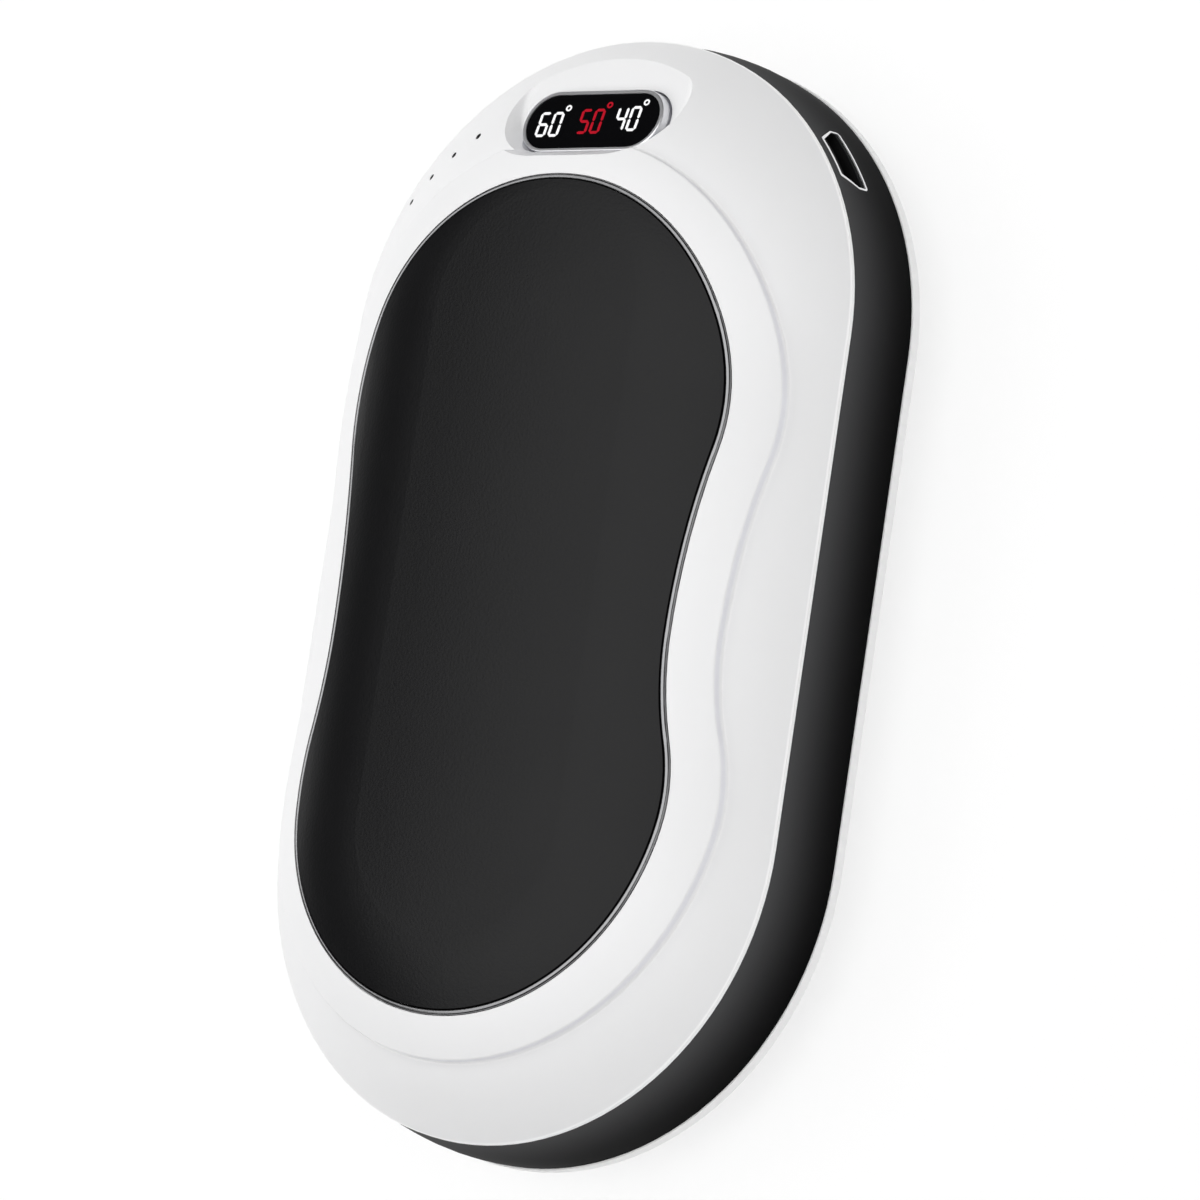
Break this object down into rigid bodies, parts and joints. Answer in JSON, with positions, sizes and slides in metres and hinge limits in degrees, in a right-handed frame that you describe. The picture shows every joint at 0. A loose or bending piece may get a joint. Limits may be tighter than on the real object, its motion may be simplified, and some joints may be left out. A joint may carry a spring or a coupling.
{
  "type": "rechargeable hand warmer",
  "caption": "Pocket hand warmer with a crowned white casing, black band, waisted black heat panel, lit temperature key and a charging socket in its side.",
  "frame": {"origin": "middle of the flat resting face of the back shell", "axes": "+X across the casing towards the side with the charging socket, +Y along the casing towards the key, +Z out of the heat panel"},
  "size_m": [0.0614, 0.112, 0.028],
  "materials": {
    "white_shell": "satin moulded white plastic",
    "black_band": "semi-gloss moulded black plastic",
    "black_panel": "fine-grained matt black coating on aluminium",
    "dark_chrome": "dark bright plating",
    "key_chrome": "bright plating",
    "smoked_window": "polished black tinted plastic",
    "milky_plastic": "translucent milky plastic",
    "amber_film": "amber plastic film with etched tracks",
    "pale_sheet": "pale fibre sheet",
    "black_resin": "moulded black resin",
    "pale_nylon": "moulded pale nylon",
    "led_resin": "clear yellowish resin",
    "green_board": "green solder mask",
    "socket_steel": "folded plated sheet",
    "grey_ferrite": "sintered grey",
    "can_aluminium": "drawn can",
    "cell_sleeve": "blue shrink sleeve",
    "nickel_strip": "plain nickel",
    "red_sleeve": "red lead sleeve",
    "black_sleeve": "black lead sleeve",
    "grey_foam": "closed-cell foam",
    "screw_steel": "zinc plated"
  },
  "bodies": {
    "casing": {"front_shell": "white_shell", "back_shell": "white_shell", "mid_band": "black_band", "panel_trim": "dark_chrome", "heat_panel": "black_panel", "heater_film": "amber_film", "insulation_sheet": "pale_sheet", "thermistor": "black_resin", "heater_tail": "amber_film", "tail_clamp": "pale_nylon", "switch_body": "black_resin", "temperature_leds": "led_resin", "level_leds": "led_resin", "level_light_pipes": "smoked_window", "main_board": "green_board", "usb_socket": "socket_steel", "usb_tongue": "black_resin", "control_chips": "black_resin", "power_coil": "grey_ferrite", "capacitors": "can_aluminium", "battery_plug": "pale_nylon", "cell_left": "cell_sleeve", "cell_right": "cell_sleeve", "positive_strip": "nickel_strip", "negative_strip": "nickel_strip", "positive_lead": "red_sleeve", "negative_lead": "black_sleeve", "cell_pads": "grey_foam", "case_screws": "screw_steel", "board_screws": "screw_steel"},
    "key": {"key_bezel": "key_chrome", "key_lens": "smoked_window", "light_guide": "milky_plastic"},
    "plunger": {"switch_plunger": "pale_nylon"}
  },
  "joints": [
    {"name": "key_press", "type": "slide", "parent": "casing", "child": "key", "axis": [0, 0, -1], "range_m": [0, 0.0005], "stiffness_N_per_m": 1200, "springref_m": -0.0004},
    {"name": "plunger_press", "type": "slide", "parent": "casing", "child": "plunger", "axis": [0, 0, -1], "range_m": [0, 0.0005]}
  ],
  "couplings": [
    {"joint": "plunger_press", "follows": "key_press", "ratio": 1}
  ]
}
